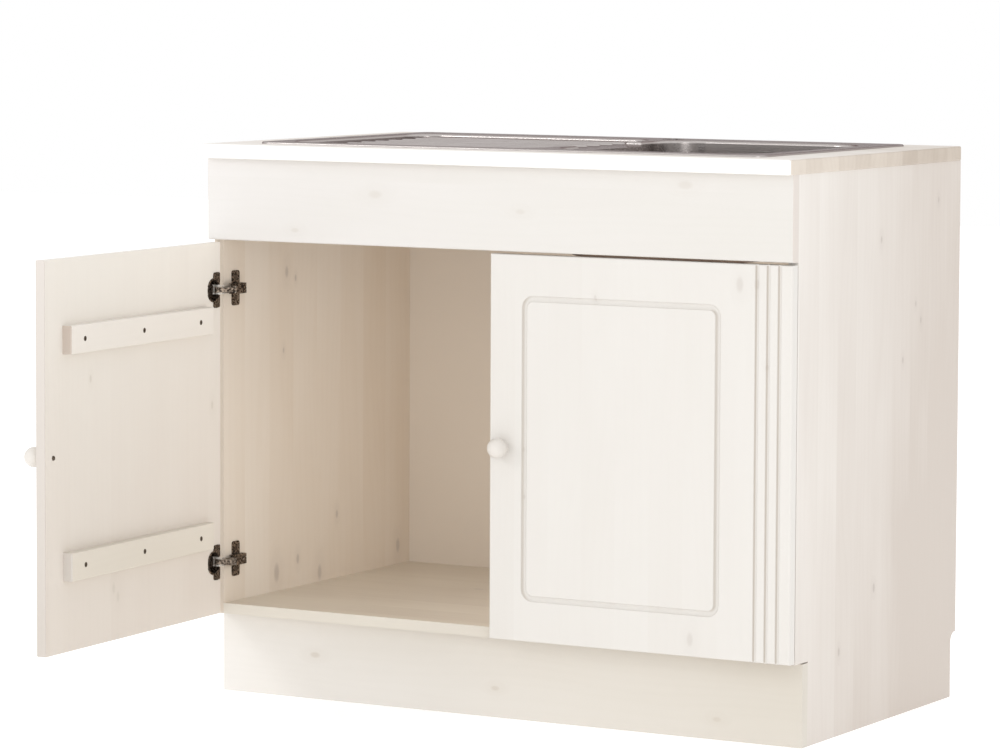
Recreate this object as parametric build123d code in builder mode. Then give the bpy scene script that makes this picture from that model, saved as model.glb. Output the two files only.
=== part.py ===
from build123d import *
from math import atan2, degrees
import os

os.makedirs("parts", exist_ok=True)

# Sink base cabinet in white-glazed pine. Sizes in mm.
# X runs across the front, Y towards the wall and Z up from the floor.
# The origin is on the floor, in the middle of the plinth board's front face.

# Worktop and overall size
unit_height = 850.0
worktop_width = 1000.0
worktop_depth = 600.0
worktop_thickness = 22.0
worktop_side_overhang = 3.0
worktop_front_overhang = 15.0
worktop_corner_radius = 8.0
worktop_edge_radius = 2.5

# Carcass boards
side_thickness = 16.0
bottom_thickness = 16.0
rail_thickness = 16.0
front_rail_height = 105.0
rear_rail_height = 90.0
back_panel_thickness = 4.0
back_panel_inset = 6.0
back_groove_depth = 6.0
groove_clearance = 0.2
skirting_notch_height = 100.0
skirting_notch_depth = 18.0
skirting_notch_radius = 15.0

# Plinth
plinth_setback = 58.0
plinth_height = 122.0
plinth_thickness = 18.0
plinth_top_clearance = 2.0
plinth_block_size = 18.0
plinth_block_length = 100.0
plinth_block_floor_gap = 10.0

# Doors and fascia
door_thickness = 16.0
door_carcass_gap = 2.0
door_middle_gap = 3.0
door_fascia_gap = 4.0
door_bottom_cover = 14.0
fascia_height = 125.0
front_edge_radius = 2.5

# Milled decoration on a door's face
ring_margin_free = 58.5
ring_margin_hinge = 118.5
ring_margin_ends = 64.5
ring_corner_radius = 14.0
ring_cutter_radius = 5.0
ring_depth = 3.5
flute_count = 3
flute_first_margin = 20.5
flute_pitch = 18.0
flute_cutter_radius = 3.5
flute_depth = 2.4

# Battens behind each door
batten_length = 404.0
batten_height = 41.0
batten_thickness = 15.0
batten_hinge_margin = 44.0
batten_top_margin = 97.0
batten_bottom_margin = 105.0
batten_chamfer = 1.0
batten_screw_pitch = 164.0

# Round wooden knob
knob_diameter = 30.0
knob_projection = 31.0
knob_foot_diameter = 20.0
knob_foot_height = 2.5
knob_neck_height = 7.0
knob_neck_diameter = 13.0
knob_edge_margin = 22.0

# Wood screws and dowels
screw_shank_radius = 2.0
screw_head_radius = 3.8
screw_head_depth = 2.0
screw_hole_clearance = 0.1
screw_tip_length = 2.0
batten_screw_length = 25.0
fascia_screw_length = 28.0
fascia_screw_pitch = 270.0
fascia_screw_count = 4
fascia_screw_height = 69.0
bracket_screw_length = 14.0
hinge_screw_length = 12.0
cup_screw_length = 12.0
knob_screw_length = 26.0
knob_screw_head_radius = 3.5
knob_screw_head_height = 1.8
dowel_radius = 4.0
dowel_length = 30.0
dowel_side_depth = 10.0
dowel_clearance = 0.1
dowel_end_margin = 60.0
rail_dowel_shares = (0.25, 0.75)

# Concealed hinges: places given from a side panel's front inner corner,
# inward into the cabinet and forward out of it, with the door shut
hinge_top_margin = 73.0
hinge_bottom_margin = 80.0
cup_edge_margin = 2.5
cup_bore_radius = 17.5
cup_bore_depth = 12.2
cup_bore_clearance = 0.2
cup_wall = 0.8
cup_flange_thickness = 1.2
cup_ear_width = 19.0
cup_ear_height = 54.0
cup_ear_corner_radius = 3.6
cup_ear_edge_margin = 2.0
cup_screw_spacing = 48.0
cup_flange_radius = 18.5
cup_notch_half_width = 8.0
cup_notch_inward = -8.0
cup_window_half_width = 7.6
cup_arm_notch_half_width = 6.5
cup_arm_notch_inward = 17.5
cup_arm_notch_depth = 3.0
cup_lug_half_width = 2.0
lug_hole_radius = 2.3
cup_lug_inner = 3.7
cup_lug_thickness = 0.7
arm_pin_inward = 21.0
arm_pin_forward = -1.4
cup_pin_inward = -8.4
cup_pin_forward = 4.4
nose_inward = 6.7
nose_forward = 10.8
hinge_pin_radius = 1.0
pin_clearance = 0.05
link_half_width = 3.4
link_eye_radius = 2.1
link_thickness = 2.2
link_offset = 0.3
inner_cup_pin_inward = -8.2
inner_cup_pin_forward = 8.4
inner_link_crown_inward = -1.6
inner_link_crown_forward = 12.1
inner_link_near = 5.5
inner_link_thickness = 0.7
inner_link_width = 1.4
inner_link_eye_radius = 1.9
pin_end = 0.2
arm_half_width = 8.0
arm_wall = 1.0
arm_foot = 4.0
arm_rear = 43.0
arm_body_front = 9.0
nose_root = 16.0
nose_cheek_inner = 4.6
nose_cheek_thickness = 0.7
nose_eye_radius = 2.0
plate_setback = 32.0
plate_wing_height = 54.0
plate_wing_width = 20.0
plate_wing_thickness = 2.0
plate_wing_corner_radius = 4.0
plate_block_half_width = 6.6
plate_block_height = 13.0
plate_block_front = 20.0
plate_block_rear = 41.0
plate_screw_spacing = 32.0
arm_screw_setback = 36.0
arm_screw_radius = 2.5
arm_screw_head_radius = 4.6
arm_screw_head_height = 2.4
arm_screw_length = 10.0
arm_slot_width = 5.6
full_opening = 95.0
link_turn_at_full_opening = 35.0
inner_link_turn_at_full_opening = 52.0
left_door_opening = 87.0

# Pressed steel sink set into the worktop
sink_width = 860.0
sink_margin = 50.0
sink_sheet = 0.8
sink_rise = 3.0
sink_corner_radius = 18.0
sink_lip = 9.0
cutout_margin = 10.0
cutout_radius = 15.0
sink_border = 32.0
bowl_width = 340.0
bowl_depth = 160.0
bowl_right_margin = 32.0
bowl_corner_radius = 60.0
bowl_floor_radius = 30.0
bowl_mouth_radius = 4.0
drainer_gap = 26.0
drainer_depth = 7.0
drainer_corner_radius = 40.0
drainer_ridge_count = 9
drainer_ridge_width = 14.0
drainer_ridge_height = 3.0
drainer_ridge_margin = 36.0
drainer_ridge_slope = 35.0
tap_ledge = 68.0
tap_hole_radius = 17.5
tap_hole_back_margin = 36.0
seal_width = 6.0

# Sink clips
clip_x_places = (-330.0, 0.0, 330.0)
clip_width = 14.0
clip_sheet = 1.5
clip_stud = 8.0
clip_stud_depth = 6.0
clip_reach = 8.0
clip_tooth = 3.0
clip_screw_radius = 2.0
clip_screw_length = 25.0
clip_screw_inset = 8.0
clip_wall_gap = 0.2

# Basket strainer waste
waste_bore_radius = 45.0
strainer_flange_radius = 56.0
strainer_flange_thickness = 1.2
strainer_body_radius = 44.5
strainer_wall = 1.5
strainer_depth = 42.0
strainer_shoulder_depth = 34.0
outlet_radius = 23.9
outlet_bore_radius = 20.0
outlet_length = 22.0
waste_clearance = 0.1
washer_thickness = 3.0
nut_side_count = 8
nut_height = 12.0
nut_outer_radius = 55.0
basket_radius = 38.0
basket_depth = 30.0
basket_sheet = 0.8
basket_hole_radius = 2.2
basket_hole_count = 12
basket_hole_circle = 23.5
basket_knob_radius = 7.0
basket_knob_waist_height = 8.0
basket_knob_grip_base = 9.5
basket_knob_grip_top = 13.5
basket_knob_height = 16.0

# Worktop fixing brackets
bracket_leg = 30.0
bracket_width = 18.0
bracket_sheet = 2.0
bracket_screw_reach = 20.0
bracket_front_margin = 60.0
bracket_rear_margin = 71.0

# Levels and planes worked out from the sizes above
half_worktop = worktop_width / 2
outer_half_width = half_worktop - worktop_side_overhang
inner_half_width = outer_half_width - side_thickness
worktop_front_y = -plinth_setback
worktop_back_y = worktop_front_y + worktop_depth
worktop_middle_y = (worktop_front_y + worktop_back_y) / 2
door_face_y = worktop_front_y + worktop_front_overhang
door_back_y = door_face_y + door_thickness
side_front_y = door_back_y + door_carcass_gap
carcass_back_y = worktop_back_y
back_panel_y = carcass_back_y - back_panel_inset - back_panel_thickness
carcass_top = unit_height - worktop_thickness
fascia_bottom = carcass_top - fascia_height
bottom_panel_base = plinth_height + plinth_top_clearance
bottom_panel_top = bottom_panel_base + bottom_thickness
door_bottom = bottom_panel_top - door_bottom_cover
door_top = fascia_bottom - door_fascia_gap
upper_hinge_z = door_top - hinge_top_margin
lower_hinge_z = door_bottom + hinge_bottom_margin
hinge_heights = (lower_hinge_z, upper_hinge_z)
screw_head_angle = 2 * degrees(atan2(screw_head_radius - screw_shank_radius, screw_head_depth))
LEFT = -1
RIGHT = 1


def save(shape, name):
    """Label a finished piece and write it to its own file."""
    shape.label = name
    export_step(shape, "parts/" + name + ".step")


def block(low, high, mode=Mode.ADD):
    """A square-edged board or cut between two opposite corners."""
    size = [b - a for a, b in zip(low, high)]
    with Locations(low):
        Box(*size, align=(Align.MIN, Align.MIN, Align.MIN), mode=mode)


def ordered(a, b):
    return (a, b) if a < b else (b, a)


def facing(point, direction):
    """A place on a face, with its own Z pointing out of that face."""
    return Plane(origin=point, z_dir=direction).location


# ------------------------------------------------------------------ carcass
front_rail_base = carcass_top - front_rail_height
rear_rail_base = carcass_top - rear_rail_height
rear_rail_y = back_panel_y - rail_thickness
bottom_middle_z = bottom_panel_base + bottom_thickness / 2
front_rail_middle_y = side_front_y + rail_thickness / 2
rear_rail_middle_y = rear_rail_y + rail_thickness / 2
dowel_spots = [
    (side_front_y + dowel_end_margin, bottom_middle_z),
    ((side_front_y + back_panel_y) / 2, bottom_middle_z),
    (back_panel_y - dowel_end_margin, bottom_middle_z),
    *[(front_rail_middle_y, front_rail_base + share * front_rail_height) for share in rail_dowel_shares],
    *[(rear_rail_middle_y, rear_rail_base + share * rear_rail_height) for share in rail_dowel_shares],
]
plate_y = side_front_y + plate_setback
plate_screw_spots = [
    (plate_y, z + step)
    for z in hinge_heights
    for step in (-plate_screw_spacing / 2, plate_screw_spacing / 2)
]
bracket_spots = (side_front_y + bracket_front_margin, rear_rail_y - bracket_rear_margin)
bracket_screw_z = carcass_top - bracket_screw_reach
bracket_screw_x = inner_half_width - bracket_screw_reach


def side_panel(side):
    """End board, notched for the plinth and for the skirting, grooved for the back."""
    inner_x = side * inner_half_width
    foot_back_y = carcass_back_y - skirting_notch_depth
    with BuildPart() as panel:
        with BuildSketch(Plane.YZ.offset(inner_x)) as outline:
            with BuildLine():
                Polyline(
                    (side_front_y, bottom_panel_base),
                    (side_front_y, carcass_top),
                    (carcass_back_y, carcass_top),
                    (carcass_back_y, skirting_notch_height),
                    (foot_back_y, skirting_notch_height),
                    (foot_back_y, 0),
                    (plinth_thickness, 0),
                    (plinth_thickness, bottom_panel_base),
                    close=True,
                )
            make_face()
            inner_corner = outline.vertices().sort_by_distance((foot_back_y, skirting_notch_height))
            fillet(inner_corner[0], skirting_notch_radius)
        extrude(amount=side * side_thickness)
        groove_x = ordered(inner_x, inner_x + side * back_groove_depth)
        block(
            (groove_x[0], back_panel_y - groove_clearance, bottom_panel_base),
            (groove_x[1], back_panel_y + back_panel_thickness + groove_clearance, carcass_top),
            Mode.SUBTRACT,
        )
        with Locations([facing((inner_x, y, z), (-side, 0, 0)) for y, z in dowel_spots]):
            Hole(dowel_radius + dowel_clearance, dowel_side_depth + dowel_clearance)
        with Locations([facing((inner_x, y, z), (-side, 0, 0)) for y, z in plate_screw_spots]):
            Hole(screw_shank_radius + screw_hole_clearance, hinge_screw_length)
        with Locations([facing((inner_x, y, bracket_screw_z), (-side, 0, 0)) for y in bracket_spots]):
            Hole(screw_shank_radius + screw_hole_clearance, bracket_screw_length)
    return panel.part


def cross_board(low, high, spots):
    """A board between the side panels, with dowel holes in both ends."""
    dowel_depth = dowel_length - dowel_side_depth + dowel_clearance
    with BuildPart() as board:
        block((-inner_half_width, *low), (inner_half_width, *high))
        for side in (LEFT, RIGHT):
            with Locations([facing((side * inner_half_width, y, z), (side, 0, 0)) for y, z in spots]):
                Hole(dowel_radius + dowel_clearance, dowel_depth)
    return board


for side, word in ((LEFT, "left"), (RIGHT, "right")):
    save(side_panel(side), "side_panel_" + word)

bottom_panel = cross_board(
    (side_front_y, bottom_panel_base), (back_panel_y, bottom_panel_top), dowel_spots[:3])
save(bottom_panel.part, "bottom_panel")

fascia_screw_spots = [
    ((n - (fascia_screw_count - 1) / 2) * fascia_screw_pitch, fascia_bottom + fascia_screw_height)
    for n in range(fascia_screw_count)
]
rail_back_y = side_front_y + rail_thickness
front_rail = cross_board(
    (side_front_y, front_rail_base), (rail_back_y, carcass_top), dowel_spots[3:5])
with front_rail:
    with Locations([facing((x, rail_back_y, z), (0, 1, 0)) for x, z in fascia_screw_spots]):
        CounterSinkHole(
            screw_shank_radius + screw_hole_clearance,
            screw_head_radius + screw_hole_clearance,
            counter_sink_angle=screw_head_angle,
        )
save(front_rail.part, "front_rail")

rear_rail = cross_board(
    (rear_rail_y, rear_rail_base), (back_panel_y, carcass_top), dowel_spots[5:])
save(rear_rail.part, "rear_rail")

with BuildPart() as dowels:
    for side in (LEFT, RIGHT):
        with Locations([
            facing((side * (inner_half_width + dowel_side_depth), y, z), (-side, 0, 0))
            for y, z in dowel_spots
        ]):
            Cylinder(dowel_radius, dowel_length, align=(Align.CENTER, Align.CENTER, Align.MIN))
save(dowels.part, "carcass_dowels")

back_half_width = inner_half_width + back_groove_depth - groove_clearance
with BuildPart() as back_panel:
    block(
        (-back_half_width, back_panel_y, bottom_panel_base + groove_clearance),
        (back_half_width, back_panel_y + back_panel_thickness, carcass_top),
    )
save(back_panel.part, "back_panel")

with BuildPart() as fascia:
    block(
        (-outer_half_width, door_face_y, fascia_bottom),
        (outer_half_width, side_front_y, carcass_top))
    face_edges = fascia.faces().sort_by(Axis.Y)[0].edges().filter_by(Axis.X).sort_by(Axis.Z)
    fillet(face_edges[0], front_edge_radius)
    pilot_depth = side_front_y - door_face_y - front_edge_radius - screw_tip_length
    with Locations([facing((x, side_front_y, z), (0, 1, 0)) for x, z in fascia_screw_spots]):
        Hole(screw_shank_radius + screw_hole_clearance, pilot_depth)
save(fascia.part, "fascia_board")

with BuildPart() as plinth:
    block((-outer_half_width, 0, 0), (outer_half_width, plinth_thickness, plinth_height))
save(plinth.part, "plinth_board")

with BuildPart() as plinth_blocks:
    for side in (LEFT, RIGHT):
        near, far = ordered(side * inner_half_width, side * (inner_half_width - plinth_block_size))
        block(
            (near, plinth_thickness, plinth_block_floor_gap),
            (far, plinth_thickness + plinth_block_size, plinth_block_floor_gap + plinth_block_length),
        )
save(plinth_blocks.part, "plinth_glue_blocks")


def wood_screw(length):
    """Countersunk screw with the face of its head at Z 0 and its shank below."""
    with BuildPart() as screw:
        with BuildSketch(Plane.XZ):
            with BuildLine():
                Polyline(
                    (0, 0), (screw_head_radius, 0), (screw_shank_radius, -screw_head_depth),
                    (screw_shank_radius, screw_tip_length - length), (0, -length), close=True)
            make_face()
        revolve(axis=Axis.Z)
    return screw.part


with BuildPart() as fascia_screws:
    with Locations([facing((x, rail_back_y, z), (0, 1, 0)) for x, z in fascia_screw_spots]):
        add(wood_screw(fascia_screw_length))
save(fascia_screws.part, "fascia_screws")

# ------------------------------------------------------------------ worktop
sink_depth = worktop_depth - 2 * sink_margin
sink_front_y = worktop_front_y + sink_margin
sink_middle_y = sink_front_y + sink_depth / 2
sink_back_y = sink_front_y + sink_depth
cutout_half_width = sink_width / 2 - cutout_margin
cutout_front_y = sink_front_y + cutout_margin
cutout_back_y = sink_back_y - cutout_margin
cutout_depth = sink_depth - 2 * cutout_margin

with BuildPart() as worktop:
    with BuildSketch(Plane.XY.offset(carcass_top)):
        with Locations((0, worktop_middle_y)):
            RectangleRounded(worktop_width, worktop_depth, worktop_corner_radius)
    extrude(amount=worktop_thickness)
    outer_rims = worktop.faces().filter_by(Axis.Z).edges()
    fillet(outer_rims, worktop_edge_radius)
    with BuildSketch(Plane.XY.offset(carcass_top)):
        with Locations((0, sink_middle_y)):
            RectangleRounded(2 * cutout_half_width, cutout_depth, cutout_radius)
    extrude(amount=worktop_thickness, mode=Mode.SUBTRACT)
    with Locations([
        facing((side * bracket_screw_x, y, carcass_top), (0, 0, -1))
        for side in (LEFT, RIGHT) for y in bracket_spots
    ]):
        Hole(screw_shank_radius + screw_hole_clearance, bracket_screw_length)
save(worktop.part, "worktop")

# Corner brackets that hold the worktop to the side panels, and their screws
bracket_screw_places = [
    place
    for side in (LEFT, RIGHT) for y in bracket_spots
    for place in (
        facing((side * (inner_half_width - bracket_sheet), y, bracket_screw_z), (-side, 0, 0)),
        facing((side * bracket_screw_x, y, carcass_top - bracket_sheet), (0, 0, -1)),
    )
]
with BuildPart() as brackets:
    for side in (LEFT, RIGHT):
        for y in bracket_spots:
            front, back = y - bracket_width / 2, y + bracket_width / 2
            for reach, drop in ((bracket_sheet, bracket_leg), (bracket_leg, bracket_sheet)):
                near, far = ordered(side * inner_half_width, side * (inner_half_width - reach))
                block((near, front, carcass_top - drop), (far, back, carcass_top))
    with Locations(bracket_screw_places):
        Hole(screw_head_radius + screw_hole_clearance, bracket_sheet)
save(brackets.part, "worktop_brackets")

with BuildPart() as bracket_screws:
    with Locations(bracket_screw_places):
        add(wood_screw(bracket_screw_length))
save(bracket_screws.part, "worktop_bracket_screws")

# ------------------------------------------------------------------ sink
rim_top_z = unit_height + sink_rise
sheet_under_z = rim_top_z - sink_sheet
bowl_right_x = sink_width / 2 - bowl_right_margin
bowl_left_x = bowl_right_x - bowl_width
bowl_middle_x = bowl_right_x - bowl_width / 2
basin_front_y = sink_front_y + sink_border
bowl_length = sink_depth - sink_border - tap_ledge
bowl_middle_y = basin_front_y + bowl_length / 2
bowl_floor_z = rim_top_z - bowl_depth
drainer_left_x = -sink_width / 2 + sink_border
drainer_right_x = bowl_left_x - drainer_gap
drainer_width = drainer_right_x - drainer_left_x
drainer_middle_x = (drainer_left_x + drainer_right_x) / 2
drainer_floor_z = rim_top_z - drainer_depth
ridge_length = drainer_width - 2 * drainer_ridge_margin
ridge_pitch = (bowl_length - 2 * drainer_ridge_margin) / (drainer_ridge_count - 1)
tap_y = sink_back_y - tap_hole_back_margin
tap_x = bowl_left_x - drainer_gap / 2

clip_inner = clip_screw_inset + clip_stud / 2 + clip_sheet + clip_wall_gap
clip_drop = clip_tooth + clip_sheet
clip_top = sheet_under_z - carcass_top - clip_wall_gap
stud_base = sheet_under_z - carcass_top - clip_stud_depth
clip_spots = [((x, cutout_front_y), (0, -1, 0)) for x in clip_x_places]
clip_spots += [((x, cutout_back_y), (0, 1, 0)) for x in clip_x_places]
clip_spots += [((side * cutout_half_width, sink_middle_y), (side, 0, 0)) for side in (LEFT, RIGHT)]
clip_frames = [
    Plane(origin=(*spot, carcass_top), x_dir=outward, z_dir=(0, 0, 1)) for spot, outward in clip_spots
]


def basin(grow, floor_drop):
    """The space of bowl and drainer below the rim, grown by the sheet for its outside."""
    with BuildPart() as space:
        with BuildSketch(Plane.XY.offset(bowl_floor_z - floor_drop)):
            with Locations((bowl_middle_x, bowl_middle_y)):
                RectangleRounded(
                    bowl_width + 2 * grow, bowl_length + 2 * grow, bowl_corner_radius + grow)
        extrude(amount=bowl_depth + floor_drop)
        floor_edges = space.faces().sort_by(Axis.Z)[0].edges()
        fillet(floor_edges, bowl_floor_radius + grow)
        with BuildSketch(Plane.XY.offset(drainer_floor_z - floor_drop)):
            with Locations((drainer_middle_x, bowl_middle_y)):
                RectangleRounded(
                    drainer_width + 2 * grow, bowl_length + 2 * grow, drainer_corner_radius + grow)
            with Locations((bowl_left_x, bowl_middle_y)):
                Rectangle(2 * drainer_gap + 2 * drainer_corner_radius, bowl_length / 2 + 2 * grow)
        extrude(amount=drainer_depth + floor_drop)
    return space.part


def ridge(shrink):
    """One raised rib of the drainer, running towards the bowl."""
    with BuildPart() as rib:
        with BuildSketch():
            SlotOverall(ridge_length - 2 * shrink, drainer_ridge_width - 2 * shrink)
        extrude(amount=drainer_ridge_height, taper=drainer_ridge_slope)
    return rib.part


def around_basin(edges, level):
    """The edges at one level that run round the bowl and the drainer."""
    edges = edges.filter_by_position(Axis.Z, level, level)
    edges = edges.filter_by_position(Axis.X, drainer_left_x - sink_rise, bowl_right_x + sink_rise)
    return edges.filter_by_position(
        Axis.Y, basin_front_y - sink_rise, basin_front_y + bowl_length + sink_rise)


# The mouth of bowl and drainer is rolled: rounded below the sheet first, then above it
with BuildPart() as sink:
    with BuildSketch(Plane.XY.offset(unit_height)):
        with Locations((0, sink_middle_y)):
            RectangleRounded(sink_width, sink_depth, sink_corner_radius)
    extrude(amount=sink_rise)
    rim_edges = sink.faces().sort_by(Axis.Z)[-1].edges()
    fillet(rim_edges, sink_rise - sink_sheet)
    with BuildSketch(Plane.XY.offset(unit_height)):
        with Locations((0, sink_middle_y)):
            RectangleRounded(
                sink_width - 2 * sink_rise, sink_depth - 2 * sink_rise, sink_corner_radius - sink_rise)
    extrude(amount=sink_rise - sink_sheet, mode=Mode.SUBTRACT)
    add(basin(sink_sheet, sink_sheet))
    fillet(around_basin(sink.edges(), sheet_under_z), bowl_mouth_radius - sink_sheet)
    add(basin(0, 0), mode=Mode.SUBTRACT)
    fillet(around_basin(sink.edges(), rim_top_z), bowl_mouth_radius)
    ridge_places = [
        (drainer_middle_x, basin_front_y + drainer_ridge_margin + n * ridge_pitch)
        for n in range(drainer_ridge_count)
    ]
    with Locations([(x, y, drainer_floor_z) for x, y in ridge_places]):
        add(ridge(0))
    with Locations([(x, y, drainer_floor_z - sink_sheet) for x, y in ridge_places]):
        add(ridge(sink_sheet), mode=Mode.SUBTRACT)
    with Locations((tap_x, tap_y, rim_top_z)):
        Hole(tap_hole_radius, sink_sheet)
    with Locations((bowl_middle_x, bowl_middle_y, bowl_floor_z)):
        Hole(waste_bore_radius, sink_sheet)
    # square studs for the clip screws, standing under the rim inside the cut-out
    for frame in clip_frames:
        with BuildSketch(frame.offset(stud_base)):
            with Locations((-clip_screw_inset, 0)):
                Rectangle(clip_stud, clip_stud)
        extrude(amount=clip_stud_depth)
        under = frame.offset(stud_base).location * Location((-clip_screw_inset, 0, 0), (180, 0, 0))
        with Locations(under):
            Hole(clip_screw_radius + screw_hole_clearance, clip_stud_depth - sink_sheet)
save(sink.part, "sink")

with BuildPart() as seal:
    with BuildSketch(Plane.XY.offset(unit_height)):
        with Locations((0, sink_middle_y)):
            RectangleRounded(
                sink_width - 2 * sink_rise, sink_depth - 2 * sink_rise, sink_corner_radius - sink_rise)
            RectangleRounded(
                sink_width - 2 * sink_rise - 2 * seal_width,
                sink_depth - 2 * sink_rise - 2 * seal_width,
                sink_corner_radius - sink_rise - seal_width,
                mode=Mode.SUBTRACT,
            )
    extrude(amount=sink_rise - sink_sheet)
save(seal.part, "sink_seal")

# Clips: each bridges from the underside of the rim to the underside of the worktop
with BuildPart() as clips:
    for frame in clip_frames:
        with BuildSketch(Plane(origin=frame.origin, x_dir=frame.x_dir, z_dir=-frame.y_dir)):
            with BuildLine():
                Polyline(
                    (clip_reach, 0), (clip_reach, -clip_drop),
                    (-clip_inner, -clip_drop), (-clip_inner, clip_top),
                    (clip_sheet - clip_inner, clip_top), (clip_sheet - clip_inner, -clip_tooth),
                    (clip_reach - clip_sheet, -clip_tooth), (clip_reach - clip_sheet, 0),
                    close=True)
            make_face()
        extrude(amount=clip_width / 2, both=True)
        with Locations(frame.location * Location((-clip_screw_inset, 0, -clip_tooth))):
            Hole(clip_screw_radius + screw_hole_clearance, clip_sheet)
save(clips.part, "sink_clips")

with BuildPart() as clip_screws:
    for frame in clip_frames:
        with Locations(frame.location * Location((-clip_screw_inset, 0, -clip_drop))):
            Cylinder(
                clip_screw_radius, clip_screw_length, align=(Align.CENTER, Align.CENTER, Align.MIN))
            Cylinder(
                screw_head_radius, screw_head_depth, align=(Align.CENTER, Align.CENTER, Align.MAX))
save(clip_screws.part, "sink_clip_screws")

# ------------------------------------------------------------------ basket strainer waste
waste_centre = (bowl_middle_x, bowl_middle_y, bowl_floor_z)
waste_plane = Plane(origin=waste_centre, x_dir=(1, 0, 0), z_dir=(0, -1, 0))
waste_axis = Axis(waste_centre, (0, 0, 1))

with BuildPart() as strainer_body:
    with BuildSketch(waste_plane):
        with BuildLine():
            Polyline(
                (outlet_bore_radius, -strainer_depth - outlet_length),
                (outlet_radius, -strainer_depth - outlet_length),
                (outlet_radius, -strainer_depth),
                (strainer_body_radius, -strainer_shoulder_depth),
                (strainer_body_radius, 0),
                (strainer_flange_radius, 0),
                (strainer_flange_radius, strainer_flange_thickness),
                (strainer_body_radius - strainer_wall, strainer_flange_thickness),
                (strainer_body_radius - strainer_wall, strainer_wall - strainer_shoulder_depth),
                (outlet_bore_radius, strainer_wall - strainer_depth),
                close=True,
            )
        make_face()
    revolve(axis=waste_axis)
save(strainer_body.part, "strainer_body")

washer_top_z = bowl_floor_z - sink_sheet
with BuildPart() as strainer_washer:
    with BuildSketch(Plane.XY.offset(washer_top_z)):
        with Locations((bowl_middle_x, bowl_middle_y)):
            Circle(nut_outer_radius)
            Circle(strainer_body_radius + waste_clearance, mode=Mode.SUBTRACT)
    extrude(amount=-washer_thickness)
save(strainer_washer.part, "strainer_washer")

with BuildPart() as strainer_nut:
    with BuildSketch(Plane.XY.offset(washer_top_z - washer_thickness)):
        with Locations((bowl_middle_x, bowl_middle_y)):
            RegularPolygon(nut_outer_radius, nut_side_count)
            Circle(strainer_body_radius + waste_clearance, mode=Mode.SUBTRACT)
    extrude(amount=-nut_height)
save(strainer_nut.part, "strainer_back_nut")

# The lift-out basket hangs by its rim on the strainer's flange
basket_rim_z = strainer_flange_thickness
basket_floor_z = basket_rim_z - basket_depth
knob_foot_radius = basket_knob_radius / 2
with BuildPart() as basket:
    with BuildSketch(waste_plane):
        with BuildLine():
            Polyline(
                (0, basket_floor_z),
                (basket_radius, basket_floor_z),
                (basket_radius, basket_rim_z),
                (strainer_body_radius, basket_rim_z),
                (strainer_body_radius, basket_rim_z + basket_sheet),
                (basket_radius - basket_sheet, basket_rim_z + basket_sheet),
                (basket_radius - basket_sheet, basket_floor_z + basket_sheet),
                (knob_foot_radius, basket_floor_z + basket_sheet),
                (knob_foot_radius, basket_rim_z + basket_knob_waist_height),
                (basket_knob_radius, basket_rim_z + basket_knob_grip_base),
                (basket_knob_radius, basket_rim_z + basket_knob_grip_top),
                (knob_foot_radius, basket_rim_z + basket_knob_height),
                (0, basket_rim_z + basket_knob_height),
                close=True,
            )
        make_face()
    revolve(axis=waste_axis)
    with Locations((bowl_middle_x, bowl_middle_y, bowl_floor_z + basket_floor_z + basket_sheet)):
        with PolarLocations(basket_hole_circle, basket_hole_count):
            Hole(basket_hole_radius, basket_sheet)
save(basket.part, "strainer_basket")

# ------------------------------------------------------------------ doors
# Both doors are drawn shut. What rides on the left one is then swung to where it stands open.
opening = {LEFT: left_door_opening, RIGHT: 0}


def hinge_point(side, inward, forward, z=0):
    """A place given from the side panel's front inner corner."""
    return (side * (inner_half_width - inward), side_front_y - forward, z)


def upright(side, inward, forward):
    return Axis(hinge_point(side, inward, forward), (0, 0, 1))


def on_outer_link(shape, side):
    """Turned about the arm pin as far as this door stands open."""
    turn = opening[side] * link_turn_at_full_opening / full_opening
    return shape.rotate(upright(side, arm_pin_inward, arm_pin_forward), -side * turn)


def on_door(shape, side):
    """Turned about the cup pin, then carried round by the outer link."""
    turn = opening[side] * (full_opening + link_turn_at_full_opening) / full_opening
    swung = shape.rotate(upright(side, cup_pin_inward, cup_pin_forward), side * turn)
    return on_outer_link(swung, side)


def on_inner_link(shape, side):
    """Turned about the nose pin as far as this door stands open."""
    turn = opening[side] * inner_link_turn_at_full_opening / full_opening
    return shape.rotate(upright(side, nose_inward, nose_forward), -side * turn)


door_free_x = door_middle_gap / 2
door_middle_z = (door_bottom + door_top) / 2
cup_inward = cup_bore_radius + cup_edge_margin - side_thickness
knob_x = door_free_x + knob_edge_margin
batten_middle_x = outer_half_width - batten_hinge_margin - batten_length / 2
batten_bases = (door_bottom + batten_bottom_margin, door_top - batten_top_margin - batten_height)
batten_screw_places = [
    (batten_middle_x + step * batten_screw_pitch, base + batten_height / 2)
    for base in batten_bases for step in (-1, 0, 1)
]
batten_rear_y = door_back_y + batten_thickness
cup_screw_inward = cup_ear_edge_margin + cup_ear_width / 2 - side_thickness
cup_screw_heights = [
    z + step for z in hinge_heights for step in (-cup_screw_spacing / 2, cup_screw_spacing / 2)
]


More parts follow.
